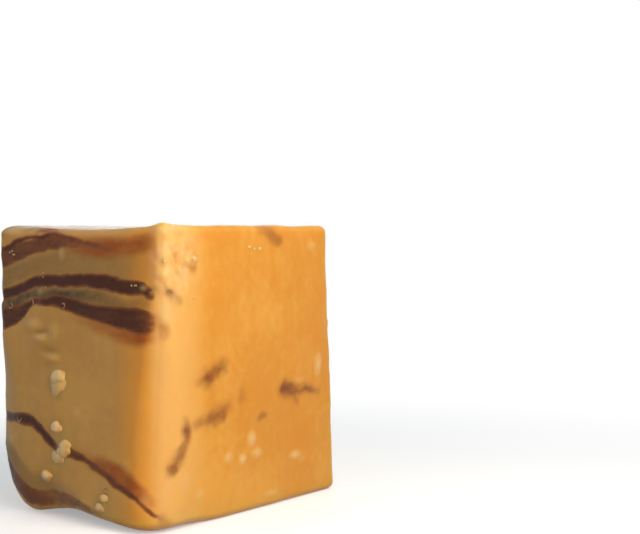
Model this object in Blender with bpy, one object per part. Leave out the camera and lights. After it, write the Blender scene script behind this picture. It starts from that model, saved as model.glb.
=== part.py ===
"""Fudge cube: one hand-cut piece of chocolate-swirled fudge, standing on its end.

The piece was cut from a poured slab, so the slab's thickness is its width (X), and two pairs of
cuts give its depth (Y) and height (Z). The knife left the sides leaning, so the piece is deeper
at the foot than at the top. Its front (-Y) is a cut face, and its right (+X) the slab's surface.
The origin is at the middle of the underside, on the surface that the piece stands on.
"""

import math

import bmesh
import bpy
from mathutils import Vector

# Driving dimensions, in metres. The width and the depth are measured half way up.
WIDTH = 0.0259
DEPTH = 0.0325
HEIGHT = 0.0340
HALF = Vector((WIDTH, DEPTH, HEIGHT)) / 2

# How much further out each side is at its foot than at its top.
LEAN_FRONT = 0.0010
LEAN_BACK = 0.0028
LEAN_RIGHT = -0.0007
LEAN_LEFT = -0.0004

# How far the middle of each face stands proud of its edges. A hollow face is negative.
SWELL_FRONT = 0.00015
SWELL_BACK = 0.00040
SWELL_RIGHT = 0.00055
SWELL_LEFT = 0.00030
SWELL_TOP = -0.00020

# The rounding of the edges, in metres along X, Y and Z, and where it differs, with how much it changes.
# Each place is given in half widths, depths and heights from the centre: +1 is right, back or top.
EDGE_ROUND = Vector((0.0011, 0.0011, 0.0009))
ROUNDED_PLACES = (
    # the front right edge, wider and wider towards its foot
    {"at": (1.0, -1.0, -0.95), "reach": (0.90, 0.75, 1.75), "change": (0.0024, 0.0024, 0.0004)},
    # the front left foot, where the corner slumped
    {"at": (-1.0, -1.0, -1.0), "reach": (1.30, 1.50, 1.40), "change": (0.0051, 0.0006, 0.0076)},
    # the top edge of the front, knocked down to a slope at its left end
    {"at": (-1.0, -1.0, 1.0), "reach": (0.60, 0.60, 0.45), "change": (-0.0008, 0.0018, 0.0002)},
    # the far corners on the left, handled while cutting
    {"at": (-1.0, 1.0, 1.0), "reach": (0.60, 0.60, 0.60), "change": (0.0012, 0.0012, 0.0010)},
    {"at": (-1.0, 1.0, -0.8), "reach": (0.60, 0.60, 0.90), "change": (0.0016, 0.0016, 0.0012)},
)

# How much of a place's reach its fall takes: the rounding stays level around the place, a swelling doesn't.
ROUNDING_FALL = 0.62
UNEVEN_FALL = 1.0

# Low swellings and hollows: how far the surface moves at the middle of each, in metres.
UNEVEN_PLACES = (
    # the top sags along the front edge, and rises again in a lump over the near corner
    {"at": (0.10, -1.0, 1.0), "reach": (1.20, 1.50, 0.60), "move": (0, 0, -0.00060)},
    {"at": (0.97, -0.97, 1.0), "reach": (0.18, 0.15, 0.35), "move": (0, 0, 0.00032)},
    # the foot lifts off the table in the middle of the front
    {"at": (-0.05, -1.0, -1.0), "reach": (0.78, 0.90, 0.60), "move": (0, 0.0003, 0.00130)},
    # a shallow hollow low on the right, and a fuller place above it
    {"at": (1.0, 0.35, -0.35), "reach": (0.60, 0.80, 0.80), "move": (-0.00025, 0, 0)},
    {"at": (1.0, -0.55, 0.35), "reach": (0.60, 0.70, 0.90), "move": (0.00025, 0, 0)},
    # the knife's drag on the back and on the left
    {"at": (0.30, 1.0, 0.45), "reach": (1.10, 0.60, 0.60), "move": (0, -0.00045, 0)},
    {"at": (-1.0, 0.30, 0.15), "reach": (0.60, 0.80, 1.10), "move": (-0.00030, 0, 0)},
)

# The grid on each face: cells to a side, and how strongly they crowd towards the edges.
CELLS = 22
CROWDING = 0.72

FUDGE_COLOUR = (0.76, 0.36, 0.065, 1.0)
FUDGE_ROUGHNESS = 0.45


def clear_scene():
    for obj in list(bpy.data.objects):
        bpy.data.objects.remove(obj, do_unlink=True)


def crowded(t):
    """Maps an even step from -1 to 1 to one that is finer near both ends."""
    return (1.0 - CROWDING) * t + CROWDING * math.sin(t * math.pi / 2)


def nearness(point, place, fall):
    """1 at the place, falling smoothly to 0 at its reach, over that share of it."""
    steps = [(point[i] - place["at"][i]) / place["reach"][i] for i in range(3)]
    near = (1.0 - math.hypot(*steps)) / fall
    near = max(0.0, min(1.0, near))
    return near * near * (3.0 - 2.0 * near)


def rounding_at(unit):
    """The three radii of the rounding near a point of the unit cube."""
    radii = EDGE_ROUND.copy()
    for place in ROUNDED_PLACES:
        radii += Vector(place["change"]) * nearness(unit, place, ROUNDING_FALL)
    return radii


def rounded(unit):
    """A point of the unit cube, carried to a box whose edges are rounded by rounding_at."""
    radii = rounding_at(unit)
    point = [unit[i] * HALF[i] for i in range(3)]
    core = Vector([max(radii[i] - HALF[i], min(HALF[i] - radii[i], point[i])) for i in range(3)])
    out = Vector([(point[i] - core[i]) / radii[i] for i in range(3)])
    out.normalize()
    return core + Vector([out[i] * radii[i] for i in range(3)])


def leaned(point, unit):
    """The side faces tilted, each turning about its own middle height."""
    below = -point.z / HEIGHT
    right, left = max(0.0, unit.x), max(0.0, -unit.x)
    back, front = max(0.0, unit.y), max(0.0, -unit.y)
    point.x += below * (LEAN_RIGHT * right - LEAN_LEFT * left)
    point.y += below * (LEAN_BACK * back - LEAN_FRONT * front)
    return point


def dome(a, b):
    """1 in the middle of a face and 0 along its edges."""
    return (1.0 - a * a) * (1.0 - b * b)


def swollen(point, unit):
    """Each face but the underside bowed out or in."""
    right, left = max(0.0, unit.x), max(0.0, -unit.x)
    back, front = max(0.0, unit.y), max(0.0, -unit.y)
    point.x += dome(unit.y, unit.z) * (SWELL_RIGHT * right - SWELL_LEFT * left)
    point.y += dome(unit.x, unit.z) * (SWELL_BACK * back - SWELL_FRONT * front)
    point.z += dome(unit.x, unit.y) * SWELL_TOP * max(0.0, unit.z)
    return point


def uneven(point, unit):
    for place in UNEVEN_PLACES:
        point += Vector(place["move"]) * nearness(unit, place, UNEVEN_FALL)
    return point


def surface_point(step):
    """Where an even grid point of the unit cube lies on the fudge."""
    unit = Vector([crowded(t) for t in step])
    return uneven(swollen(leaned(rounded(unit), unit), unit), unit)


def stood_on_origin(bm):
    """The underside pressed flat on the table, and the piece centred over the origin."""
    foot = -HALF.z
    for vert in bm.verts:
        vert.co.z = max(vert.co.z, foot)
    xs = [vert.co.x for vert in bm.verts]
    ys = [vert.co.y for vert in bm.verts]
    middle = Vector(((min(xs) + max(xs)) / 2, (min(ys) + max(ys)) / 2, foot))
    bmesh.ops.translate(bm, verts=bm.verts, vec=-middle)


def fudge_material():
    material = bpy.data.materials.new("fudge")
    material.use_nodes = True
    shader = material.node_tree.nodes["Principled BSDF"]
    shader.inputs["Base Color"].default_value = FUDGE_COLOUR
    shader.inputs["Roughness"].default_value = FUDGE_ROUGHNESS
    shader.inputs["Metallic"].default_value = 0.0
    return material


def fudge_cube():
    bm = bmesh.new()
    bmesh.ops.create_cube(bm, size=2.0)
    bmesh.ops.subdivide_edges(bm, edges=bm.edges, cuts=CELLS - 1, use_grid_fill=True)
    for vert in bm.verts:
        vert.co = surface_point(vert.co)
    stood_on_origin(bm)
    mesh = bpy.data.meshes.new("fudge_cube")
    bm.to_mesh(mesh)
    bm.free()
    mesh.shade_smooth()
    mesh.materials.append(fudge_material())
    obj = bpy.data.objects.new("fudge_cube", mesh)
    bpy.context.scene.collection.objects.link(obj)
    return obj


clear_scene()
fudge_cube()
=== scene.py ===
import math
from itertools import product

import bpy
import numpy as np
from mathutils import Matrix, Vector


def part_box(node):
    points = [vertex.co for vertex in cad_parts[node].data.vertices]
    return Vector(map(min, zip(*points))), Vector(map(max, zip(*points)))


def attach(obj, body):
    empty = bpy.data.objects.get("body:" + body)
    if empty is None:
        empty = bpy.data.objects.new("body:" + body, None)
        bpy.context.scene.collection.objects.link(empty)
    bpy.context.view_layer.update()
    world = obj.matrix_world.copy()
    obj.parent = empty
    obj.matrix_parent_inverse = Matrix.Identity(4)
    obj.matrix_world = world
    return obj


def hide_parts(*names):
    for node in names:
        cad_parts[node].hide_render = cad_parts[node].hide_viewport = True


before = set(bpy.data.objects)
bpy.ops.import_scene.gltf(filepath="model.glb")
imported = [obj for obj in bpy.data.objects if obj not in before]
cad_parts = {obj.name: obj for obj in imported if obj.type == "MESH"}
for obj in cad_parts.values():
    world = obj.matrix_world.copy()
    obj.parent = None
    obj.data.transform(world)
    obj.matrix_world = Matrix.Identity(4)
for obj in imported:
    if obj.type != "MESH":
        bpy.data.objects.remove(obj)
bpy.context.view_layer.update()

mm = 0.001
blockLow, blockHigh = (np.array([float(v) for v in corner]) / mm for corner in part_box("fudge_cube"))
centre = (blockLow + blockHigh) / 2


# everything below is worked out in millimetres, as whole arrays

def smooth(t):  # 0 to 1 in an S curve: 3t² - 2t³
    t = np.clip(t, 0.0, 1.0)
    return t * t * (3.0 - 2.0 * t)


def noise(points, size, seed):
    # random values from -1 to 1 on a lattice of that spacing, blended in S curves between its corners
    lattice = np.random.default_rng(seed).uniform(-1.0, 1.0, (24, 24, 24))
    cell = points / size
    low = np.floor(cell).astype(int)
    part = smooth(cell - low)
    total = np.zeros(len(points))
    for corner in product((0, 1), repeat=3):
        weight = np.prod(np.where(corner, part, 1.0 - part), axis=1)
        total += weight * lattice[tuple(((low + corner) % 24).T)]
    return total


def nearness(points, place, fall=1.0):
    # 1 at the place, 0 at its reach, falling in an S curve over that share of the reach
    steps = (points - np.array(place["at"])) / np.array(place["reach"])
    return smooth((1.0 - np.linalg.norm(steps, axis=1)) / fall)


def throughKnots(x, knots):
    # a cubic between each two knots, whose slopes are those between their neighbours
    knots = np.array(knots, dtype=float)
    places, values = knots[:, 0], knots[:, 1:]
    slopes = np.gradient(values, places, axis=0)
    i = np.clip(np.searchsorted(places, x) - 1, 0, len(places) - 2)
    width = (places[i + 1] - places[i])
    t = np.clip((x - places[i]) / width, 0.0, 1.0)[:, None]
    width = width[:, None]
    start = (1 + 2 * t) * (1 - t) ** 2 * values[i] + t * (1 - t) ** 2 * width * slopes[i]
    end = t * t * (3 - 2 * t) * values[i + 1] - t * t * (1 - t) * width * slopes[i + 1]
    return (start + end).T


# the block is a box with soft uneven edges, in the same shape as the solid it stands for
block = {
    "size": (25.9, 32.5, 34.0),
    "cells": (104, 136, 140),
    "crowding": 0.35,
    "rounding": (1.1, 1.1, 0.9),
    "roundedPlaces": [
        {"at": (1.0, -1.0, -0.95), "reach": (0.90, 0.75, 1.75), "change": (2.4, 2.4, 0.4)},  # near edge
        {"at": (-1.0, -1.0, -1.0), "reach": (1.30, 1.50, 1.40), "change": (5.1, 0.6, 7.6)},  # slumped foot
        {"at": (-1.0, -1.0, 1.0), "reach": (0.60, 0.60, 0.45), "change": (-0.8, 1.8, 0.2)},  # knocked corner
        {"at": (-1.0, 1.0, 1.0), "reach": (0.60, 0.60, 0.60), "change": (1.2, 1.2, 1.0)},
        {"at": (-1.0, 1.0, -0.8), "reach": (0.60, 0.60, 0.90), "change": (1.6, 1.6, 1.2)},
    ],
    "roundingFall": 0.62,
    "lean": {"right": -0.7, "left": -0.4, "back": 2.8, "front": 1.0},
    "swell": {"right": 0.55, "left": 0.30, "back": 0.40, "front": 0.15, "top": -0.20},
    "unevenPlaces": [
        {"at": (0.10, -1.0, 1.0), "reach": (1.20, 1.50, 0.60), "move": (0, 0, -0.60)},
        {"at": (0.97, -0.97, 1.0), "reach": (0.18, 0.15, 0.35), "move": (0, 0, 0.32)},
        {"at": (-0.05, -1.0, -1.0), "reach": (0.78, 0.90, 0.60), "move": (0, 0.3, 1.30)},
        {"at": (1.0, 0.35, -0.35), "reach": (0.60, 0.80, 0.80), "move": (-0.25, 0, 0)},
        {"at": (1.0, -0.55, 0.35), "reach": (0.60, 0.70, 0.90), "move": (0.25, 0, 0)},
        {"at": (0.30, 1.0, 0.45), "reach": (1.10, 0.60, 0.60), "move": (0, -0.45, 0)},
        {"at": (-1.0, 0.30, 0.15), "reach": (0.60, 0.80, 1.10), "move": (-0.30, 0, 0)},
    ],
}


def boxGrid(cells):
    # the points of a cube's surface from -1 to 1, shared along its edges, and its outward quads
    index = np.indices([count + 1 for count in cells])
    last = np.array(cells)[:, None, None, None]
    onSurface = ((index == 0) | (index == last)).any(axis=0)
    numbers = np.full(onSurface.shape, -1)
    numbers[onSurface] = np.arange(onSurface.sum())
    steps = (2.0 * index / last - 1.0)[:, onSurface].T
    quads = []
    for axis, side in product(range(3), (0, -1)):
        sheet = numbers.take(side, axis=axis)
        ring = [sheet[:-1, :-1], sheet[1:, :-1], sheet[1:, 1:], sheet[:-1, 1:]]
        if (side == 0) != (axis == 1):
            ring.reverse()
        quads.append(np.stack(ring, axis=-1).reshape(-1, 4))
    return steps, np.concatenate(quads)


def shapedBlock(steps):
    # the cube's points crowded to the edges, clamped to a core, carried out by the rounding, then bent
    crowd = block["crowding"]
    unit = (1 - crowd) * steps + crowd * np.sin(steps * math.pi / 2)
    half = np.array(block["size"]) / 2
    radii = np.tile(block["rounding"], (len(unit), 1))
    for place in block["roundedPlaces"]:
        radii = radii + nearness(unit, place, block["roundingFall"])[:, None] * place["change"]
    core = np.clip(unit * half, radii - half, half - radii)
    out = (unit * half - core) / radii
    points = core + radii * out / np.linalg.norm(out, axis=1, keepdims=True)
    right, back, top = np.maximum(unit, 0).T
    left, front, _ = np.maximum(-unit, 0).T
    below = -points[:, 2] / block["size"][2]
    lean, swell = block["lean"], block["swell"]
    bow = 1 - unit ** 2
    points[:, 0] += below * (lean["right"] * right - lean["left"] * left)
    points[:, 1] += below * (lean["back"] * back - lean["front"] * front)
    points[:, 0] += bow[:, 1] * bow[:, 2] * (swell["right"] * right - swell["left"] * left)
    points[:, 1] += bow[:, 0] * bow[:, 2] * (swell["back"] * back - swell["front"] * front)
    points[:, 2] += bow[:, 0] * bow[:, 1] * swell["top"] * top
    for place in block["unevenPlaces"]:
        points = points + nearness(unit, place)[:, None] * place["move"]
    points[:, 2] = np.maximum(points[:, 2], -half[2])
    low, high = points.min(axis=0), points.max(axis=0)
    return blockLow + (points - low) * (blockHigh - blockLow) / (high - low)


def outward(points, quads):
    # each point's normal: the sum of the crossed diagonals of the quads round it
    across = points[quads[:, 2]] - points[quads[:, 0]]
    along = points[quads[:, 3]] - points[quads[:, 1]]
    faceNormals = np.cross(across, along)
    normals = np.zeros_like(points)
    for corner in range(4):
        np.add.at(normals, quads[:, corner], faceNormals)
    return normals / np.linalg.norm(normals, axis=1, keepdims=True)


# chocolate runs back through the block in sheets, from the cut front
# each knot: x, height of the sheet's middle, half its thickness, how dark it is
sheets = {
    "crown": [(-14.5, 29.4, 1.2, 0.72), (-12.4, 29.9, 1.15, 0.70), (-8.5, 30.9, 1.0, 0.66),
              (-5, 31.7, 0.9, 0.62),
              (-1.5, 31.8, 0.62, 0.50), (2.5, 31.5, 0.36, 0.30), (6.0, 31.1, 0.4, 0.0)],
    "crownLine": [(-14.5, 30.8, 0.22, 1.0), (-12.4, 31.0, 0.26, 1.0), (-10.1, 31.8, 0.26, 1.0),
                  (-7.4, 32.5, 0.20, 0.85), (-5.8, 32.4, 0.20, 0.95), (-4.5, 32.7, 0.24, 0.9),
                  (-3.3, 32.8, 0.24, 0.8), (-1.8, 32.4, 0.20, 0.65), (0.7, 32.1, 0.18, 0.5),
                  (2.6, 31.6, 0.2, 0.4), (5.5, 31.0, 0.2, 0.3), (8.5, 30.8, 0.2, 0.0)],
    "crownRise": [(-8.0, 33.2, 0.2, 0.0), (-6.2, 33.3, 0.35, 0.45), (-4.4, 33.4, 0.4, 0.5),
                  (-3.0, 33.2, 0.2, 0.0)],
    "upper": [(-14.5, 24.9, 0.62, 0.85), (-11.7, 25.7, 0.66, 1.0), (-5.8, 27.3, 0.66, 1.0),
              (-1.9, 27.4, 0.62, 1.0),
              (2.5, 27.6, 0.73, 1.0), (7.9, 27.0, 0.77, 1.0), (10.2, 26.7, 0.62, 0.85), (11.6, 26.4, 0.55,
                                                                                         0.66),
              (12.6, 26.2, 0.5, 0.0)],
    "lower": [(-14.5, 22.0, 1.4, 0.80), (-11.8, 22.7, 1.3, 0.84), (-9.5, 23.5, 1.0, 0.86),
              (-7, 24.7, 0.36, 0.90),
              (-4.1, 25.1, 0.52, 0.98), (-0.6, 24.8, 0.80, 0.95), (2.8, 24.1, 0.8, 0.92), (7, 23.6, 1.2,
                                                                                           0.86),
              (9.1, 23.3, 1.35, 0.82), (10.3, 23.2, 1.35, 0.74), (11.5, 23.2, 1.15, 0.48), (12.7, 23.3, 0.9,
                                                                                            0.0)],
    "foot": [(-14.5, 11.4, 0.64, 0.85), (-12.1, 11.2, 0.58, 0.90), (-7.4, 11.1, 0.62, 0.95),
             (-5.4, 10.2, 0.66, 0.95), (-3.7, 8.9, 0.60, 0.92), (-1.8, 8.1, 0.40, 0.85), (0, 7.8, 0.46, 0.80),
             (2.8, 7.2, 0.38, 0.74), (5.6, 5.9, 0.42, 0.70), (7.6, 5.1, 0.42, 0.74), (9.6, 4.2, 0.40, 0.72),
             (10.8, 3.1, 0.34, 0.66), (11.6, 2.3, 0.26, 0.60), (12.4, 1.9, 0.2, 0.0)],
    "sole": [(-14.5, 6.6, 1.4, 0.70), (-11.4, 5.0, 1.2, 0.74), (-8.9, 3.0, 1.3, 0.64), (-6.4, 2.1, 1.1, 0.56),
             (-3.6, 2.5, 0.9, 0.50), (-0.6, 2.3, 0.7, 0.48), (2.0, 2.0, 0.5, 0.40), (4.4, 1.8, 0.35, 0.2),
             (6.0, 1.7, 0.2, 0.0)],
}

# sheets that start behind the front, so they show only at the back and on the left
innerSheets = {
    "heart": [(-14.5, 17.5, 0.5, 0.7), (-9, 18.6, 1.0, 0.95), (-2, 16.2, 0.7, 1.0), (5, 17.6, 1.2, 0.9),
              (12.6, 15.8, 0.5, 0.0)],
    "heartEdge": [(-12, 16.4, 0.3, 0.0), (-5, 15.8, 0.6, 0.42), (3, 15.6, 0.8, 0.40), (11, 14.4, 0.6, 0.0)],
}

# sheets standing on edge, so they show on the top: x, y, half, how dark
standing = {
    "long": [(-14.5, 9.5, 0.4, 0.55), (-9, 7.2, 0.75, 0.80), (-4, 2.0, 0.55, 0.70), (1, -0.6, 0.9, 0.85),
             (6, 1.4, 0.5, 0.62), (10, 5.0, 0.4, 0.30), (12.5, 6.0, 0.3, 0.0)],
    "short": [(-8, 13.2, 0.2, 0.0), (-3, 11.8, 0.45, 0.55), (3, 10.6, 0.6, 0.60), (8, 11.6, 0.3, 0.0)],
}

# where the fudge between the sheets took up chocolate and went dull, and one band of painted shade along the top
# edge: x, height, half, how much
stainAndShades = {
    "underCrown": [(-14.5, 27.0, 1.2, 0.50), (-12, 27.6, 1.3, 0.46), (-8, 28.8, 1.1, 0.44),
                   (-3, 29.5, 1.5, 0.38),
                   (3, 29.5, 1.6, 0.34), (8, 29.1, 1.5, 0.26), (11.5, 29.0, 1.3, 0.0)],
    "between": [(-14.5, 23.6, 0.8, 0.8), (-11.5, 24.4, 0.9, 0.85), (-7, 25.7, 0.7, 0.85),
                (-2.3, 25.9, 0.7, 0.92),
                (1.8, 25.9, 0.8, 0.74), (5, 25.6, 0.9, 0.60), (8, 25.1, 0.7, 0.50), (10.6, 25.3, 0.7, 0.34),
                (12.2, 25.4, 0.5, 0.0)],
    # painted shade along the top edge, not a stain
    "topShade": [(-14.5, 34.0, 1.3, 0.42), (-10, 34.2, 1.2, 0.46), (-4, 34.3, 1.2, 0.50),
                 (4, 34.3, 1.2, 0.50),
                 (9, 34.4, 1.1, 0.36), (12.5, 34.6, 1.0, 0.0)],
    "overSole": [(-14.5, 8.6, 1.8, 0.5), (-11, 6.9, 1.5, 0.5), (-8, 4.6, 1.2, 0.34), (-4, 3.7, 0.9, 0.25),
                 (0, 3.2, 0.6, 0.0)],
}

# thin reddish chocolate beside the sheets: x, height, half, how much
fringes = {
    "crownEnd": [(-3.5, 31.5, 0.6, 0.0), (0.5, 31.4, 0.9, 0.70), (3.5, 31.2, 1.0, 0.85),
                 (7.5, 31.3, 1.0, 0.80),
                 (11, 31.7, 0.9, 0.66), (12.6, 31.8, 0.6, 0.0)],
    "underLower": [(-2.0, 23.8, 0.3, 0.0), (2.0, 23.0, 0.6, 0.45), (5.3, 22.2, 0.8, 0.65),
                   (8.5, 21.6, 0.95, 0.85),
                   (10.8, 21.6, 0.9, 0.90), (12.4, 21.9, 0.6, 0.0)],
    "footEnd": [(-0.5, 8.1, 0.5, 0.0), (2.8, 7.4, 0.7, 0.62), (5.6, 6.7, 1.1, 0.95), (7.8, 6.1, 1.2, 0.95),
                (9.8, 5.2, 1.05, 0.90), (10.9, 4.3, 0.8, 0.7), (12.0, 3.2, 0.5, 0.0)],
}

marbling = {
    "sheetEdge": 0.75,       # how soft the edges are
    "stainEdge": 1.3,
    "fringeEdge": 1.2,
    "wobble": (0.20, 1.7),   # size and spacing of the small waver
    "drift": (2.6, 10.5),    # size and spacing of the wander, which grows behind the front
    "driftFrom": 1.5,
    "driftOver": 11.0,
    "calmUnderTop": 4.0,     # the wander dies down towards the top, where only the standing sheets come through
    "standingDepth": 2.6,
    "innerFrom": 6.0,
    "innerOver": 8.0,
    "skin": (12.9, 1.0),     # the right face is a smooth skin that no sheet breaks
}

# strokes of chocolate in the skin of the right face, the one under the top edge partly painted shadow, each knot:
# y, z, half width, how dark
smudges = [
    [(-10.5, 16.3, 0.70, 0.30), (-9.2, 16.7, 1.00, 1.1), (-8.1, 17.2, 0.85, 0.80), (-6.9, 17.7, 0.90, 0.90),
     (-5.8, 18.1, 0.50, 0.30)],
    [(-11.0, 11.7, 0.60, 0.35), (-9.4, 11.8, 0.80, 0.60), (-8.0, 12.0, 0.95, 0.80), (-6.6, 12.5, 0.95, 0.85),
     (-5.4, 13.1, 0.70, 0.35)],
    [(-12.4, 12.2, 0.50, 0.40), (-12.3, 11.2, 0.75, 1.0), (-12.4, 9.8, 0.65, 0.60), (-13.1, 8.4, 0.90, 0.75),
     (-14.2, 7.1, 0.75, 0.85), (-14.6, 6.4, 0.45, 0.30)],
    [(5.2, 14.1, 0.90, 1.1), (6.8, 13.8, 1.00, 0.92), (8.6, 13.4, 0.65, 0.85), (9.9, 13.8, 0.60, 1.0),
     (11.8, 13.2, 0.55, 0.70), (13.0, 13.0, 0.40, 0.40)],
    [(7.2, 13.4, 0.70, 0.70), (8.0, 12.4, 0.70, 0.50), (8.4, 11.9, 0.45, 0.25)],
    # partly a chocolate stroke, partly painted shadow under the top edge
    [(0.8, 33.3, 0.80, 0.40), (2.6, 32.9, 1.10, 0.65), (3.9, 32.1, 0.80, 0.60)],
    [(0.4, 11.0, 0.45, 0.60), (1.1, 11.3, 0.50, 0.80), (1.7, 11.2, 0.40, 0.50)],
    [(-3.2, 14.5, 0.70, 0.30), (-3.0, 13.8, 0.75, 0.30)],
    [(-15.9, 26.8, 0.60, 0.50), (-15.2, 26.4, 0.50, 1.3), (-14.4, 25.8, 0.70, 0.60),
     (-13.7, 25.4, 0.55, 0.40)],
    [(-16.0, 23.6, 0.60, 0.35), (-15.7, 22.6, 0.70, 0.50), (-15.6, 21.6, 0.50, 0.25)],
    [(-15.2, 1.6, 0.70, 0.50), (-14.6, 1.2, 0.55, 0.40)],
    [(-13.6, 28.4, 0.70, 0.40), (-13.0, 27.8, 0.60, 0.30)],
    [(-12.2, 29.2, 0.55, 0.34), (-11.4, 28.9, 0.50, 0.30)],
]


def bandAmount(points, knots, edge):
    # how far inside the band a point is, over its soft edge, times the amount there
    middle, half, amount = throughKnots(points[:, 0], knots)
    inside = (half - np.abs(points[:, 2] - middle)) / edge + 0.5
    return smooth(inside) * np.clip(amount, 0.0, 1.0)


def laidOver(points, bands, edge):
    # one minus the product of what each band lets through
    clear = np.ones(len(points))
    for knots in bands.values():
        clear *= 1.0 - bandAmount(points, knots, edge)
    return 1.0 - clear


def marblingAt(points):
    # each point moved by the wander and the waver, then looked up in the sheets, stains and fringes
    behind = points[:, 1] - blockLow[1]
    size, spacing = marbling["drift"]
    grows = smooth((behind - marbling["driftFrom"]) / marbling["driftOver"])[:, None]
    drift = np.stack([noise(points, spacing, seed) for seed in (11, 12, 13)], axis=1)
    below = blockHigh[2] - points[:, 2]
    calm = smooth(below / marbling["calmUnderTop"])[:, None]
    moved = points + grows * calm * size * drift * (0.8, 0.0, 1.3)
    size, spacing = marbling["wobble"]
    moved[:, 2] += size * noise(points, spacing, 14) + 0.5 * size * noise(points, spacing / 2.6, 15)
    inner = smooth((behind - marbling["innerFrom"]) / marbling["innerOver"])
    hidden = inner * laidOver(moved, innerSheets, marbling["sheetEdge"])
    level = (points + 1.2 * drift)[:, [0, 2, 1]]
    upper = smooth(1.4 - below / marbling["standingDepth"]) * laidOver(level, standing, marbling["sheetEdge"])
    skinStart, skinDepth = marbling["skin"]
    cut = smooth((skinStart - points[:, 0]) / skinDepth)
    shown = laidOver(moved, sheets, marbling["sheetEdge"])
    return {
        "cocoa": cut * (1.0 - (1.0 - hidden) * (1.0 - upper) * (1.0 - shown)),
        "stainAndShade": cut * laidOver(moved, stainAndShades, marbling["stainEdge"]),
        "fringe": cut * laidOver(moved, fringes, marbling["fringeEdge"]),
    }


def strokeAmount(points, line):
    # a blurred halo and a ragged core, by the distance to the nearest stretch over its half width
    line = np.array(line)
    best = np.zeros(len(points))
    ragged = 0.95 + 0.45 * noise(points, 0.85, 24)
    flat = points[:, 1:]
    for start, end in zip(line[:-1], line[1:]):
        run = end[:2] - start[:2]
        t = np.clip((flat - start[:2]) @ run / (run @ run), 0.0, 1.0)
        away = np.linalg.norm(flat - start[:2] - t[:, None] * run, axis=1)
        half, dark = start[2:, None] + t * (end[2:] - start[2:])[:, None]
        halo = smooth(1.15 - 0.62 * away / half)
        core = smooth(1.15 * ragged - 0.85 * away / half)
        best = np.maximum(best, dark * (0.42 * halo + 0.58 * core))
    return best


def smudgeAt(points):
    # the strokes, their path shaken a little, only in the skin of the right face
    shake = np.stack([noise(points, spacing, 20) for spacing in (1.1, 1.0, 0.9)], axis=1)
    total = np.zeros(len(points))
    for line in smudges:
        total = np.maximum(total, strokeAmount(points + 0.20 * shake, line))
    return total * smooth((points[:, 0] - 11.4) / 0.8)


# the outer few millimetres under the right face set clearer, so they're more orange than the cut fudge; the
# layer's numbers also place the painted highlight by the near edge and the painted glow on the cut faces beside
# it
skinLayer = {"from": 7.6, "to": 12.2, "edgeLightFrom": -7.5, "edgeLightTo": -16.0, "amberFrom": 5.8, "amberTo": 10.6}


def skinAt(points):
    # how near the right face, in an S curve over the layer's depth, a little ragged
    ragged = points[:, 0] + 0.35 * noise(points * (1, 1, 0.3), 2.4, 26)
    return smooth((ragged - skinLayer["from"]) / (skinLayer["to"] - skinLayer["from"]))


def paleEdgeAt(points):
    # how near the front edge of the right face: a painted highlight along the near edge, fading back over the
    # face as painted light
    low, high = skinLayer["edgeLightFrom"], skinLayer["edgeLightTo"]
    near = smooth((points[:, 1] + 0.8 * noise(points * (1, 1, 0.35), 3.0, 27) - low) / (high - low))
    return near * smooth((points[:, 0] - 10.8) / 1.6)


def amberAt(points):
    # on the cut faces, the clear layer just under the skin: a painted orange glow, standing in for light from the
    # lit right face coming through the corner
    low, high = skinLayer["amberFrom"], skinLayer["amberTo"]
    under = smooth((points[:, 0] + 0.5 * noise(points * (1, 1, 0.3), 2.2, 28) - low) / (high - low))
    return under * smooth((12.9 - points[:, 0]) / 1.4)
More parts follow.
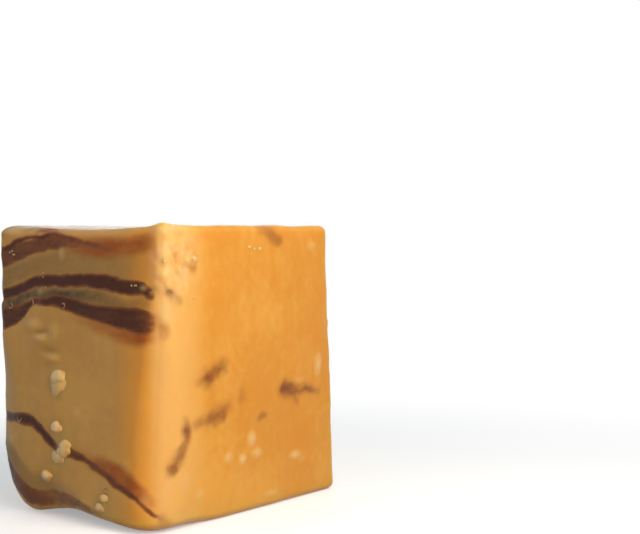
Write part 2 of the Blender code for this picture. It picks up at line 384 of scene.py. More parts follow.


# soft swellings and dents: which face, where on it, half its width and height, how high, how pale; a negative
# paleness paints shade into a dent
swellings = [
    {"face": "front", "at": (-2.35, 30.5), "size": (0.80, 1.25), "rise": 0.16, "pale": 0.36},
    {"face": "front", "at": (-2.35, 15.8), "size": (1.90, 2.20), "rise": 0.26, "pale": 0.42},
    {"face": "front", "at": (0.50, 12.6), "size": (1.40, 1.00), "rise": 0.12, "pale": 0.20},
    {"face": "front", "at": (1.94, 13.2), "size": (0.90, 0.70), "rise": 0.08, "pale": 0.12},
    {"face": "front", "at": (-6.90, 22.2), "size": (2.10, 1.00), "rise": 0.36, "pale": 0.34},
    {"face": "front", "at": (-5.30, 20.7), "size": (2.00, 0.85), "rise": 0.40, "pale": 0.38},
    {"face": "front", "at": (-3.30, 21.4), "size": (1.20, 1.60), "rise": 0.20, "pale": 0.24},
    # dents with painted shade, as negative paleness
    {"face": "front", "at": (-5.90, 21.5), "size": (2.20, 0.55), "rise": -0.30, "pale": -0.16},
    {"face": "front", "at": (-4.10, 19.4), "size": (2.20, 0.60), "rise": -0.30, "pale": -0.18},
    {"face": "front", "at": (-3.40, 18.5), "size": (1.80, 0.70), "rise": 0.30, "pale": 0.24},
    {"face": "front", "at": (-10.6, 8.5), "size": (1.60, 1.40), "rise": 0.14, "pale": 0.24},
    {"face": "front", "at": (-1.50, 8.2), "size": (1.70, 1.60), "rise": 0.22, "pale": 0.46},
    {"face": "front", "at": (-2.55, 10.5), "size": (1.20, 0.95), "rise": 0.16, "pale": 0.34},
    {"face": "front", "at": (-4.40, 5.0), "size": (1.40, 1.10), "rise": 0.18, "pale": 0.42},
    {"face": "front", "at": (-5.60, 26.1), "size": (1.00, 0.75), "rise": 0.12, "pale": 0.30},
    {"face": "front", "at": (8.60, 7.6), "size": (1.10, 0.90), "rise": 0.08, "pale": 0.16},
    {"face": "front", "at": (10.9, 3.9), "size": (0.90, 1.30), "rise": 0.10, "pale": 0.26},
    {"face": "front", "at": (4.80, 3.1), "size": (0.90, 1.50), "rise": 0.14, "pale": 0.34},
    {"face": "front", "at": (-13.0, 25.1), "size": (1.00, 0.60), "rise": -0.24, "pale": 0.0},
    {"face": "front", "at": (-10.8, 33.0), "size": (2.40, 1.10), "rise": 0.10, "pale": 0.40},
    {"face": "front", "at": (-7.6, 33.3), "size": (1.60, 0.60), "rise": -0.10, "pale": 0.10},
    {"face": "front", "at": (3.4, 34.4), "size": (8.50, 2.00), "rise": -0.30, "pale": 0.0},
    {"face": "front", "at": (2.0, 33.4), "size": (10.0, 0.80), "rise": 0.0, "pale": 0.26},
    {"face": "right", "at": (12.3, 16.5), "size": (1.10, 2.10), "rise": 0.22, "pale": 0.74},
    {"face": "right", "at": (-0.90, 8.8), "size": (1.25, 1.25), "rise": 0.20, "pale": 0.70},
    {"face": "right", "at": (-5.05, 7.1), "size": (1.10, 1.00), "rise": 0.16, "pale": 0.66},
    {"face": "right", "at": (-2.55, 6.6), "size": (1.00, 0.90), "rise": 0.24, "pale": 0.84},
    {"face": "right", "at": (0.20, 6.9), "size": (1.50, 0.80), "rise": 0.20, "pale": 0.72},
    {"face": "right", "at": (7.90, 5.6), "size": (1.70, 0.80), "rise": 0.20, "pale": 0.70},
    {"face": "right", "at": (9.40, 4.9), "size": (1.00, 0.60), "rise": 0.08, "pale": 0.24},
    {"face": "right", "at": (-9.90, 3.6), "size": (1.20, 0.90), "rise": 0.14, "pale": 0.40},
    {"face": "right", "at": (3.20, 1.6), "size": (1.60, 0.60), "rise": 0.14, "pale": 0.42},
    {"face": "right", "at": (-12.6, 5.6), "size": (2.00, 2.20), "rise": 0.08, "pale": 0.24},
    {"face": "right", "at": (10.6, 31.4), "size": (1.30, 1.00), "rise": 0.10, "pale": 0.30},
    {"face": "right", "at": (8.3, 14.9), "size": (2.00, 0.70), "rise": 0.06, "pale": 0.20},
    {"face": "right", "at": (-12.2, 32.2), "size": (1.50, 1.10), "rise": 0.12, "pale": 0.48},
    {"face": "right", "at": (-15.6, 29.6), "size": (0.90, 2.80), "rise": 0.12, "pale": 0.40},
    {"face": "right", "at": (-15.7, 33.0), "size": (1.20, 1.00), "rise": 0.08, "pale": 0.60},
    {"face": "right", "at": (-15.9, 28.4), "size": (1.10, 0.90), "rise": 0.18, "pale": 0.46},
    {"face": "right", "at": (-13.2, 31.0), "size": (0.70, 1.60), "rise": 0.16, "pale": 0.56},
    {"face": "right", "at": (-11.2, 30.0), "size": (0.70, 0.70), "rise": 0.16, "pale": 0.56},
    {"face": "right", "at": (-11.5, 28.9), "size": (0.80, 0.60), "rise": -0.08, "pale": -0.10},
    {"face": "right", "at": (-14.7, 31.8), "size": (0.90, 0.80), "rise": 0.20, "pale": 0.70},
    {"face": "right", "at": (-13.5, 28.9), "size": (0.80, 0.70), "rise": 0.18, "pale": 0.66},
    {"face": "right", "at": (-15.2, 27.2), "size": (0.70, 0.80), "rise": 0.14, "pale": 0.60},
    {"face": "right", "at": (-12.4, 29.9), "size": (0.70, 0.90), "rise": 0.20, "pale": 0.72},
    {"face": "right", "at": (-14.3, 30.3), "size": (0.70, 0.70), "rise": -0.14, "pale": -0.14},
    {"face": "front", "at": (10.6, 26.9), "size": (0.90, 0.50), "rise": 0.10, "pale": 0.46},
    {"face": "front", "at": (11.9, 26.4), "size": (0.80, 0.45), "rise": 0.10, "pale": 0.42},
]

# more of them where no face is shown in particular: how many, seed, and the ranges they're drawn from
strewn = {"count": 34, "seed": 5, "size": (0.6, 1.6), "rise": (0.05, 0.20), "pale": (0.05, 0.34)}

crumblyCorner = {"at": (13.0, -14.3, 29.6), "reach": (2.6, 4.6, 6.2)}
# painted broken highlights along the near edge, mixed in as paleness
paintedGlintsEdge = {"at": (12.9, -15.9, 17.0), "reach": (2.2, 2.4, 55.0), "pale": 0.95}

relief = {
    "swells": (0.075, 4.2),
    "ripples": (0.035, 1.6),
    "grain": (0.012, 0.55),
    "knife": (0.020, 0.8),
    "crumbly": (0.120, 1.05),
    "bandSink": 0.05,
}


def spotOnFace(spot):
    # the spot's centre and reach in the block, deep enough to take in the face's leaning and swelling
    (across, up), (wide, tall) = spot["at"], spot["size"]
    if spot["face"] == "front":
        return {**spot, "at": (across, blockLow[1] + 0.7, up), "reach": (wide, 2.6, tall)}
    return {**spot, "at": (blockHigh[0] - 0.5, across, up), "reach": (2.6, wide, tall)}


def unseenFaces(normals):
    return (normals[:, 0] < -0.8) | (normals[:, 1] > 0.8) | (normals[:, 2] > 0.9)


def roughFaces():
    # rows of the surface at the back and on the left, where lumps and crumbs stick out
    inside = ((surface > blockLow + 2.5) & (surface < blockHigh - 2.5)).sum(axis=1) == 2
    facing = (surfaceNormals[:, 0] < -0.8) | (surfaceNormals[:, 1] > 0.8)
    return np.flatnonzero(facing & inside)


def strewnSwellings(points, normals):
    # soft spots on the back, the left and the top, at points drawn from the surface
    draw = np.random.default_rng(strewn["seed"])
    found = []
    for pick in draw.choice(np.flatnonzero(unseenFaces(normals)), strewn["count"], replace=False):
        reach = np.where(np.abs(normals[pick]) > 0.7, 1.6, draw.uniform(*strewn["size"], 3))
        rise = draw.uniform(*strewn["rise"]) * (0.2 if normals[pick][2] > 0.7 else 1.0)
        found.append({"at": points[pick], "reach": reach, "rise": rise,
                      "pale": draw.uniform(*strewn["pale"])})
    return found


def paleAt(points, spots):
    # the strongest spot at each point, the crumbly corner's sugary patches and painted glints along the near
    # edge; a negative spot stays negative, painting shade into its dent
    pale = np.zeros(len(points))
    for spot in spots:
        near = nearness(points, spot) * spot["pale"]
        pale = np.where(np.abs(near) > np.abs(pale), near, pale)
    patchy = smooth(0.5 + 1.2 * noise(points, 1.5, 31)) * smooth(0.7 + noise(points, 0.7, 32))
    corner = 0.75 * nearness(points, crumblyCorner, 0.7) * patchy
    broken = smooth(0.45 + 1.3 * noise(points * (1, 1, 0.4), 1.1, 33)) * smooth(0.6 + noise(points, 2.6, 34))
    # painted glints along the near edge
    paintedGlints = paintedGlintsEdge["pale"] * nearness(points, paintedGlintsEdge) * broken * smooth((points[:, 0] - 11.9) / 0.9)
    return np.where(pale < 0, pale, np.maximum(np.maximum(pale, corner), paintedGlints))


def reliefAt(points, normals, cocoa, spots):
    # waves of three sizes, the knife's lines on the cut faces, the swellings and the crumbly corner
    height = np.zeros(len(points))
    for number, name in enumerate(("swells", "ripples", "grain")):
        size, spacing = relief[name]
        height += size * noise(points, spacing, 41 + number)
    size, spacing = relief["knife"]
    cut = smooth((np.abs(normals[:, 1]) - 0.6) / 0.3)
    height += size * cut * noise(points * (0.12, 1.0, 1.0), spacing, 45)
    size, spacing = relief["crumbly"]
    corner = nearness(points, crumblyCorner, 0.7)
    height += size * corner * (noise(points, spacing, 46) + 0.6 * noise(points, spacing / 2.2, 47))
    for spot in spots:
        height += spot["rise"] * nearness(points, spot)
    height -= relief["bandSink"] * cocoa
    return height * smooth((normals[:, 2] + 0.95) / 0.25)   # the underside stays flat


def addPiece(name, points, faces, finish, attributes=None):
    # faces is a list of arrays, each of faces with as many corners as it has columns
    mesh = bpy.data.meshes.new(name)
    mesh.vertices.add(len(points))
    mesh.vertices.foreach_set("co", (points * mm).astype(np.float32).ravel())
    corners = np.concatenate([face.ravel() for face in faces])
    sizes = np.concatenate([np.full(len(face), face.shape[1]) for face in faces])
    mesh.loops.add(len(corners))
    mesh.loops.foreach_set("vertex_index", corners.astype(np.int32))
    mesh.polygons.add(len(sizes))
    mesh.polygons.foreach_set("loop_start", np.concatenate([[0], np.cumsum(sizes)[:-1]]).astype(np.int32))
    mesh.update(calc_edges=True)
    mesh.validate()
    for label, values in (attributes or {}).items():
        mesh.attributes.new(label, "FLOAT", "POINT").data.foreach_set("value", values.astype(np.float32))
    mesh.shade_smooth()
    mesh.materials.append(finish)
    piece = bpy.data.objects.new(name, mesh)
    bpy.context.scene.collection.objects.link(piece)
    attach(piece, "root")
    print(name, "has", len(sizes), "faces")
    return piece


class Wire:
    # one output of a node, on which plain arithmetic adds Math nodes

    def __init__(self, board, socket):
        self.board = board
        self.socket = socket

    def joined(self, operation, first, second):
        return self.board.node("ShaderNodeMath", {"operation": operation}, {0: first, 1: second})

    def __add__(self, other):
        return self.joined("ADD", self, other)

    def __radd__(self, other):
        return self.joined("ADD", other, self)

    def __sub__(self, other):
        return self.joined("SUBTRACT", self, other)

    def __rsub__(self, other):
        return self.joined("SUBTRACT", other, self)

    def __mul__(self, other):
        return self.joined("MULTIPLY", self, other)

    def __rmul__(self, other):
        return self.joined("MULTIPLY", other, self)


class Board:
    # the nodes of a material, or of the world

    def __init__(self, owner):
        owner.use_nodes = True
        self.owner = owner
        self.tree = owner.node_tree
        self.tree.nodes.clear()

    def node(self, kind, settings=None, values=None, output=0):
        made = self.tree.nodes.new(kind)
        for key, value in (settings or {}).items():
            setattr(made, key, value)
        for key, value in (values or {}).items():
            if isinstance(value, Wire):
                self.tree.links.new(value.socket, made.inputs[key])
            else:
                made.inputs[key].default_value = value
        return Wire(self, made.outputs[output]) if made.outputs else None

    def objectPlace(self, stretch=(1, 1, 1)):
        place = self.node("ShaderNodeTexCoord", output="Object")
        return self.node("ShaderNodeMapping", None, {"Vector": place, "Scale": stretch})

    def cloud(self, place, size, detail=2.0, rough=0.5):
        values = {"Vector": place, "Scale": 1 / (size * mm), "Detail": detail, "Roughness": rough}
        return self.node("ShaderNodeTexNoise", None, values, "Fac")

    def attribute(self, name):
        return self.node("ShaderNodeAttribute", {"attribute_name": name}, output="Fac")

    def ramp(self, value, low, high):
        values = {"Value": value, "From Min": low, "From Max": high}
        return self.node("ShaderNodeMapRange", {"interpolation_type": "SMOOTHSTEP"}, values)

    def mixed(self, factor, first, second):
        return self.node("ShaderNodeMix", {"data_type": "RGBA"}, {0: factor, 6: first, 7: second}, 2)

    def backdropRays(self):
        # 1 where the eye, a reflection or a clear thing looks at what is behind
        seen = 0.0
        for name in ("Is Camera Ray", "Is Glossy Ray", "Is Transmission Ray"):
            seen = seen + self.node("ShaderNodeLightPath", output=name)
        return self.ramp(seen, 0.0, 1.0)

    def done(self, values):
        shader = self.node("ShaderNodeBsdfPrincipled", {"subsurface_method": "RANDOM_WALK"}, values)
        self.node("ShaderNodeOutputMaterial", None, {"Surface": shader})
        return self.owner


fudge = {
    "cutPale": (0.82, 0.415, 0.102, 1),
    "cutDeep": (0.73, 0.355, 0.082, 1),
    "skinPale": (0.86, 0.395, 0.060, 1),
    "skinDeep": (0.78, 0.305, 0.025, 1),
    # painted highlight: paler colour along the near edge of the right face, fading back over it as painted light
    "paleEdge": (0.93, 0.495, 0.135, 1),
    # painted glow: orange standing in for light coming through the corner from the lit right face
    "amber": (0.92, 0.395, 0.054, 1),
    # stain colour, also used for the painted shade band along the top edge
    "stainAndShade": (0.112, 0.062, 0.028, 1),
    "fringe": (0.50, 0.112, 0.009, 1),
    "brown": (0.34, 0.095, 0.020, 1),
    "chocolate": (0.104, 0.018, 0.002, 1),
    # smudge colour, also used where one stroke under the top edge is partly painted shadow
    "smudge": (0.25, 0.052, 0.007, 1),
    # sugar colour, also used for the painted glints along the near edge
    "sugarAndGlints": (0.90, 0.540, 0.200, 1),
    # painted shade in the dents, where paleness is negative
    "dentShade": (0.50, 0.20, 0.030, 1),
    "roughness": 0.40,
    "shine": 0.15,
    "glowDepth": 2.6,
    "glow": (1.0, 0.42, 0.14),
}


def fudgeFinish():
    # cut fudge, the clearer skin with its painted edge highlight and the painted glow beside it, then stains with
    # a painted shade band on top, fringes, chocolate, smudges with some painted shadow, pale spots with painted
    # glints on the near edge, and painted shade in dents
    board = Board(bpy.data.materials.new("marbledFudge"))
    place = board.objectPlace()
    broad = board.cloud(place, 9.0, 3.0)
    mottle = board.cloud(place, 1.1, 4.0, 0.6)
    fine = board.cloud(place, 0.35, 3.0, 0.65)
    upright = board.cloud(board.objectPlace((1, 1, 0.12)), 2.4, 2.0)
    along = board.cloud(board.objectPlace((0.22, 0.22, 1.5)), 1.3, 3.0, 0.6)
    names = ("cocoa", "stainAndShade", "fringe", "smudge", "pale", "skin", "amber", "paleEdge")
    cocoa, stainAndShade, fringe, smudge, pale, skin, amber, paleEdge = (board.attribute(name) for name in names)

    tone = board.ramp(broad * 0.55 + mottle * 0.25 + upright * 0.20, 0.36, 0.64)
    cut = board.mixed(tone, fudge["cutDeep"], fudge["cutPale"])
    outer = board.mixed(tone, fudge["skinDeep"], fudge["skinPale"])
    colour = board.mixed(skin, cut, outer)
    # painted glow on the cut faces beside the right face
    colour = board.mixed(amber, colour, fudge["amber"])
    # painted highlight along the near edge of the right face
    colour = board.mixed(paleEdge, colour, fudge["paleEdge"])
    # stains, and a painted shade band along the top edge
    colour = board.mixed(stainAndShade * (0.55 + mottle * 0.9), colour, fudge["stainAndShade"])
    colour = board.mixed(fringe * (0.45 + mottle * 0.5 + along * 0.6), colour, fudge["fringe"])
    grain = (fine - 0.5) * 0.22 + (mottle - 0.5) * 0.30 + (along - 0.5) * 0.55
    ragged = cocoa + grain * board.ramp(cocoa, 0.02, 0.35)
    colour = board.mixed(board.ramp(ragged, 0.05, 0.55), colour, fudge["brown"])
    colour = board.mixed(board.ramp(ragged, 0.40, 1.0), colour, fudge["chocolate"])
    # smudges, one of them partly painted shadow
    colour = board.mixed(smudge * (0.40 + fine * 0.5 + mottle * 0.45), colour, fudge["smudge"])
    # pale spots, and painted glints along the near edge
    colour = board.mixed(pale * (0.7 + mottle), colour, fudge["sugarAndGlints"])
    # painted shade in the dents
    colour = board.mixed(pale * -2.2, colour, fudge["dentShade"])

    height = mottle * 0.5 + fine * 0.5
    bump = board.node("ShaderNodeBump", None, {"Strength": 0.30, "Distance": 0.06 * mm, "Height": height})
    rough = fudge["roughness"] - 0.08 + mottle * 0.16 - skin * 0.05 - board.ramp(pale, 0.1, 0.6) * 0.12
    return board.done({
        "Base Color": colour, "Roughness": rough, "Normal": bump,
        "Specular IOR Level": fudge["shine"],
        "Subsurface Weight": 1.0, "Subsurface Radius": fudge["glow"], "Subsurface Scale": fudge["glowDepth"] * mm,
    })


# pale lumps of butter and sugar that stand out of the faces: half width, half height, how high, how pale
lumps = {
    "rings": 16, "around": 28, "sunk": 0.50, "uneven": 0.38, "blend": (0.45, 0.85),
    "shown": [
        ("front", (-2.20, 16.3), (1.25, 1.00), 0.42, 0.55),
        ("front", (-2.70, 15.2), (1.15, 1.00), 0.38, 0.48),
        ("front", (-1.80, 15.4), (1.00, 0.90), 0.34, 0.42),
        ("front", (-2.57, 10.6), (0.85, 0.75), 0.42, 0.80),
        ("front", (-1.15, 8.75), (1.20, 0.85), 0.48, 0.65),
        ("front", (-1.60, 8.00), (1.25, 0.95), 0.48, 0.60),
        ("front", (-2.30, 7.20), (1.00, 0.80), 0.38, 0.58),
        ("front", (-4.45, 4.95), (0.92, 0.72), 0.46, 0.65),
        ("front", (5.00, 3.50), (0.62, 0.62), 0.30, 0.35),
        ("front", (4.30, 2.35), (0.78, 0.60), 0.32, 0.42),
        ("right", (-1.45, 31.2), (0.30, 0.24), 0.14, 0.15),
        ("right", (-0.60, 31.0), (0.22, 0.20), 0.12, 0.15),
        ("right", (0.35, 31.1), (0.32, 0.28), 0.18, 0.25),
    ],
    "strewn": 16, "seed": 8, "size": (0.35, 0.95), "rise": (0.45, 0.70), "pale": (0.25, 0.85),
    "foot": (0.80, 0.38, 0.080, 1), "buttery": (0.82, 0.45, 0.110, 1), "cream": (0.94, 0.67, 0.31, 1),
    "roughness": 0.27,
}

# small crumbs of sugar: a few on the crumbly corner and beside the sheets, most at the back and on the left
crumbs = {
    "rings": 6, "around": 9, "sunk": 0.55, "uneven": 0.45, "seed": 3, "blend": (0.40, 0.80),
    "clusters": [
        {"face": "right", "at": (-13.6, 30.2), "spread": (1.8, 3.0), "count": 4, "size": (0.14, 0.28),
         "pale": 0.0},
        {"face": "right", "at": (-11.3, 30.0), "spread": (0.3, 0.3), "count": 2, "size": (0.30, 0.50),
         "pale": 0.10},
        {"face": "front", "at": (9.2, 27.1), "spread": (0.7, 0.4), "count": 3, "size": (0.08, 0.18),
         "pale": -0.1},
        {"face": "front", "at": (-10.9, 30.4), "spread": (0.6, 0.4), "count": 4, "size": (0.08, 0.20),
         "pale": -0.1},
        {"face": "front", "at": (-5.2, 27.6), "spread": (0.5, 0.7), "count": 4, "size": (0.08, 0.16),
         "pale": -0.1},
    ],
    "strewn": 70, "size": (0.10, 0.28), "pale": (0.3, 0.8),
}


def ball(rings, around):
    # a unit ball of latitude rings between two single poles: points, triangles at the poles, quads between
    down = np.linspace(0, math.pi, rings + 1)[1:-1, None]
    turn = np.linspace(0, 2 * math.pi, around, endpoint=False)[None, :]
    points = np.stack([np.sin(down) * np.cos(turn), np.sin(down) * np.sin(turn), np.cos(down) + 0 * turn],
                      axis=-1)
    points = np.concatenate([[[0, 0, 1]], points.reshape(-1, 3), [[0, 0, -1]]])
    step = np.arange(around)
    after = (step + 1) % around
    last = len(points) - 1
    base = 1 + np.arange(rings - 2)[:, None] * around
    quads = np.stack([base + step, base + around + step, base + around + after, base + after], axis=-1)
    top = np.stack([0 * step, 1 + step, 1 + after], axis=-1)
    foot = np.stack([0 * step + last, last - around + after, last - around + step], axis=-1)
    return points, np.concatenate([top, foot]), quads.reshape(-1, 4)


def facingFrames(normals):
    # across and up along the surface at each normal, so that a shape's height stays upright
    upward = np.where(np.abs(normals[:, 2:]) > 0.9, (0.0, 1.0, 0.0), (0.0, 0.0, 1.0))
    across = np.cross(upward, normals)
    across /= np.linalg.norm(across, axis=1, keepdims=True)
    return across, np.cross(normals, across)


def nearestOnFace(face, places):
    # the surface point and normal closest to each place, measured across and up on its face
    flat = surface[:, [0, 2]] if face == "front" else surface[:, [1, 2]]
    facing = -surfaceNormals[:, 1] > 0.45 if face == "front" else surfaceNormals[:, 0] > 0.45
    rows = np.flatnonzero(facing)
    nearest = [rows[np.argmin(((flat[rows] - place) ** 2).sum(axis=1))] for place in places]
    return np.array(nearest)


def addLumpPiece(name, made, rows, sizes, heights, pale, finish):
    # a ball at each row of the surface, swollen by noise, stretched to its size and partly sunk
    unit, triangles, quads = ball(made["rings"], made["around"])
    count, each = len(rows), len(unit)
    across, up = facingFrames(surfaceNormals[rows])
    shift = np.arange(count)[:, None, None] * 7.3
    spread = (unit[None] + shift).reshape(-1, 3)
    swell = made["uneven"] * (noise(spread, 0.9, 61) + 0.18 * noise(spread, 0.4, 62)).reshape(count, each, 1)
    shape = unit[None] * (1 + swell)
    points = surface[rows][:, None] - made["sunk"] * (heights[:, None] * surfaceNormals[rows])[:, None]
    points = points + shape[:, :, :1] * (sizes[:, :1] * across)[:, None]
    points = points + shape[:, :, 1:2] * (sizes[:, 1:] * up)[:, None]
    points = points + shape[:, :, 2:] * (heights[:, None] * surfaceNormals[rows])[:, None]
    first = np.arange(count)[:, None, None] * each
    faces = [(shapeFaces[None] + first).reshape(-1, shapeFaces.shape[1]) for shapeFaces in (triangles, quads)]
    raised = smooth((shape[:, :, 2] - made["blend"][0]) / made["blend"][1]).ravel()
    return addPiece(name, points.reshape(-1, 3), faces, finish,
                    {"pale": np.repeat(pale, each), "raised": raised})


def lumpFinish():
    # buttery to cream by each lump's own paleness, clouded a little, and as dark as the fudge at its foot
    board = Board(bpy.data.materials.new("paleLumps"))
    cloudy = board.cloud(board.objectPlace(), 0.5, 3.0, 0.6)
    colour = board.mixed(board.attribute("pale") + (cloudy - 0.5) * 0.5, lumps["buttery"], lumps["cream"])
    colour = board.mixed(board.attribute("raised"), lumps["foot"], colour)
    bump = board.node("ShaderNodeBump", None, {"Strength": 0.3, "Distance": 0.04 * mm, "Height": cloudy})
    return board.done({
        "Base Color": colour, "Roughness": lumps["roughness"], "Normal": bump, "Specular IOR Level": 0.5,
    })


def addLumps(finish):
    draw = np.random.default_rng(lumps["seed"])
    rows, sizes, heights, pale = [], [], [], []
    for face, place, size, high, tint in lumps["shown"]:
        rows.append(nearestOnFace(face, [place])[0])
        sizes.append(size)
        heights.append(high)
        pale.append(tint)
    for row in draw.choice(roughFaces(), lumps["strewn"], replace=False):
        size = draw.uniform(*lumps["size"], 2)
        rows.append(row)
        sizes.append(size)
        heights.append(size.min() * draw.uniform(*lumps["rise"]))
        pale.append(draw.uniform(*lumps["pale"]))
    addLumpPiece("pale_lumps", lumps, rows, np.array(sizes), np.array(heights), np.array(pale), finish)


def addCrumbs(finish):
    draw = np.random.default_rng(crumbs["seed"])
    rows, sizes, pale = [], [], []
    for cluster in crumbs["clusters"]:
        places = np.array(cluster["at"]) + draw.normal(0, 0.6, (cluster["count"], 2)) * cluster["spread"]
        rows.append(nearestOnFace(cluster["face"], places))
        sizes.append(draw.uniform(*cluster["size"], (cluster["count"], 2)))
        pale.append(cluster["pale"] + draw.uniform(-0.25, 0.25, cluster["count"]))
    rows.append(draw.choice(roughFaces(), crumbs["strewn"], replace=False))
    sizes.append(draw.uniform(*crumbs["size"], (crumbs["strewn"], 2)))
    pale.append(draw.uniform(*crumbs["pale"], crumbs["strewn"]))
    rows, sizes, pale = (np.concatenate(part) for part in (rows, sizes, pale))
    heights = sizes.min(axis=1) * 0.40
    addLumpPiece("sugar_crumbs", crumbs, rows, sizes, heights, pale, finish)


# broken bubbles: where on the front, and the radius of each rim
bubbles = {
    "front": [(-9.03, 11.3, 0.42), (-7.21, 24.8, 0.38), (-10.9, 24.4, 0.30), (-1.94, 24.5, 0.28),
              (5.65, 4.3, 0.34)],
    "strewn": 9, "seed": 17, "radius": (0.25, 0.42),
    "thick": 0.085, "around": 20, "section": 8,
    "rim": (0.46, 0.25, 0.11, 1), "roughness": 0.36,
}


def bubbleFinish():
    board = Board(bpy.data.materials.new("bubbleRims"))
    cloudy = board.cloud(board.objectPlace(), 0.4, 2.0)
    colour = board.mixed(cloudy, fudge["brown"], bubbles["rim"])
    return board.done({"Base Color": colour, "Roughness": bubbles["roughness"], "Specular IOR Level": 0.35})


def addBubbles():
    # a ring's tube round each centre: (radius + thick cos b) round the normal, thick sin b along it,
    # sunk by a different depth round its turn, so that the ring is broken
    draw = np.random.default_rng(bubbles["seed"])
    rows = np.concatenate([nearestOnFace("front", [spot[:2] for spot in bubbles["front"]]),
                           draw.choice(roughFaces(), bubbles["strewn"], replace=False)])
    radii = np.concatenate([[spot[2] for spot in bubbles["front"]],
                            draw.uniform(*bubbles["radius"], bubbles["strewn"])])[:, None, None, None]
    a = np.linspace(0, 2 * math.pi, bubbles["around"], endpoint=False)[None, :, None, None]
    b = np.linspace(0, 2 * math.pi, bubbles["section"], endpoint=False)[None, None, :, None]
    across, up = (side[:, None, None] for side in facingFrames(surfaceNormals[rows]))
    out = surfaceNormals[rows][:, None, None]
    thick = bubbles["thick"] * (1 + 0.35 * np.sin(a * 2 + radii * 40))
    reach = radii * (1 + 0.10 * np.sin(a * 3 + radii * 90)) + thick * np.cos(b)
    broken = bubbles["thick"] * (0.55 + 0.75 * np.sin(a + radii * 60))
    middle = surface[rows][:, None, None] - broken * out
    points = middle + reach * (np.cos(a) * across + np.sin(a) * up) + thick * np.sin(b) * out
    shape = points.shape[:3]
    index = np.arange(np.prod(shape)).reshape(shape)
    nextA, nextB = np.roll(index, -1, axis=1), np.roll(index, -1, axis=2)
    quads = np.stack([index, nextA, np.roll(nextA, -1, axis=2), nextB], axis=-1).reshape(-1, 4)
    addPiece("bubble_rims", points.reshape(-1, 3), [quads], bubbleFinish())


view = {"lens": 71.0, "turn": 35.8, "down": 1.23, "from": (106.02, -116.05, 15.1)}


def addCamera():
    data = bpy.data.cameras.new("camera")
    data.lens = view["lens"]
    data.sensor_width = 36.0
    data.clip_start = 0.005
    camera = bpy.data.objects.new("camera", data)
    camera.location = (centre + np.array(view["from"])) * mm
    camera.rotation_euler = (math.radians(90 - view["down"]), 0, math.radians(view["turn"]))
    bpy.context.scene.collection.objects.link(camera)
    bpy.context.scene.camera = camera


# round is the compass angle from the front towards the right face, up the angle of height
lamps = {
    "window": {"round": 82, "up": 36, "away": 150, "size": 80, "power": 0.110, "colour": (1.0, 0.97, 0.92)},
    "strip": {"round": 61, "up": 12, "away": 180, "size": 80, "power": 0.122, "colour": (1.0, 0.97, 0.92)},
    "fill": {"round": -50, "up": 30, "away": 600, "size": 420, "power": 0.12, "colour": (0.80, 0.93, 1.0)},
    "rear": {"round": 215, "up": 10, "away": 600, "size": 380, "power": 0.9, "colour": (0.96, 0.98, 1.0)},
}


def addLamp(name, lamp):
    data = bpy.data.lights.new(name, "AREA")
    data.shape = "DISK"
    data.size = lamp["size"] * mm
    data.energy = lamp["power"]
    data.color = lamp["colour"]
    turn, up = math.radians(lamp["round"]), math.radians(lamp["up"])
    direction = np.array([math.sin(turn) * math.cos(up), -math.cos(turn) * math.cos(up), math.sin(up)])
    made = bpy.data.objects.new(name, data)
    made.location = (centre + direction * lamp["away"]) * mm
    made.rotation_euler = (math.radians(90) - up, 0, turn)
    bpy.context.scene.collection.objects.link(made)


surroundings = {"light": (0.74, 0.90, 1.0, 1), "strength": 0.32}


def addSurroundings():
    # cool soft light all round, and plain white where the eye or a reflection looks past the block
    world = bpy.data.worlds.new("surroundings")
    bpy.context.scene.world = world
    board = Board(world)
    values = {"Color": surroundings["light"], "Strength": surroundings["strength"]}
    soft = board.node("ShaderNodeBackground", None, values)
    white = board.node("ShaderNodeBackground", None, {"Color": (1, 1, 1, 1), "Strength": 1.0})
    both = board.node("ShaderNodeMixShader", None, {0: board.backdropRays(), 1: soft, 2: white})
    board.node("ShaderNodeOutputWorld", None, {"Surface": both})


floor = {
    "radius": 1500, "near": 30, "far": 110,
    "seen": (0.97, 0.92, 0.88, 1), "unseen": (0.32, 0.32, 0.32, 1), "lift": 0.34,
}


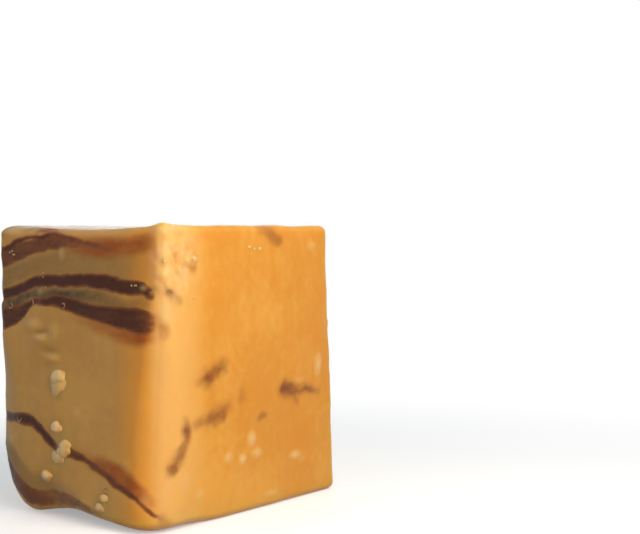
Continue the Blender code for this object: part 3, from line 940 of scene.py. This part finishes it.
def floorFinish():
    # a pale matt table that fades to white further out, and a little brighter to the eye
    board = Board(bpy.data.materials.new("paleTable"))
    rays = board.backdropRays()
    place = board.node("ShaderNodeTexCoord", output="Object")
    away = board.node("ShaderNodeVectorMath", {"operation": "LENGTH"}, {0: place}, "Value")
    shade = board.mixed(rays, floor["unseen"], floor["seen"])
    matt = board.node("ShaderNodeBsdfDiffuse", None, {"Color": shade})
    lift = board.node("ShaderNodeEmission", None, {"Color": (1, 1, 1, 1), "Strength": rays * floor["lift"]})
    near = board.node("ShaderNodeAddShader", None, {0: matt, 1: lift})
    white = board.node("ShaderNodeEmission", None, {"Color": (1, 1, 1, 1), "Strength": 1.0})
    fade = board.ramp(away, floor["near"] * mm, floor["far"] * mm) * rays
    both = board.node("ShaderNodeMixShader", None, {0: fade, 1: near, 2: white})
    board.node("ShaderNodeOutputMaterial", None, {"Surface": both})
    return board.owner


def addFloor():
    # a flat disc: its rim at equal turns, filled with one face
    turn = np.linspace(0, 2 * math.pi, 64, endpoint=False)
    rim = np.stack([np.cos(turn), np.sin(turn), np.zeros(64)], axis=1) * floor["radius"] * mm
    mesh = bpy.data.meshes.new("table")
    mesh.from_pydata(rim.tolist(), [], [list(range(64))])
    mesh.materials.append(floorFinish())
    table = bpy.data.objects.new("table", mesh)
    bpy.context.scene.collection.objects.link(table)


bpy.context.scene.view_settings.view_transform = "Standard"
addCamera()
addSurroundings()
for lampName, lamp in lamps.items():
    addLamp(lampName, lamp)
addFloor()
print("camera, light and table are up")

steps, quads = boxGrid(block["cells"])
bare = shapedBlock(steps)
bareNormals = outward(bare, quads)
fields = marblingAt(bare)
spots = [spotOnFace(spot) for spot in swellings] + strewnSwellings(bare, bareNormals)
surface = bare + reliefAt(bare, bareNormals, fields["cocoa"], spots)[:, None] * bareNormals
surfaceNormals = outward(surface, quads)
fields.update(smudge=smudgeAt(bare), pale=paleAt(bare, spots), skin=skinAt(bare), paleEdge=paleEdgeAt(bare),
              amber=amberAt(bare))
blockPiece = addPiece("marbled_block", surface, [quads], fudgeFinish(), fields)
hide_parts("fudge_cube")
paleFinish = lumpFinish()
addLumps(paleFinish)
addCrumbs(paleFinish)
addBubbles()
print("fudge is made")
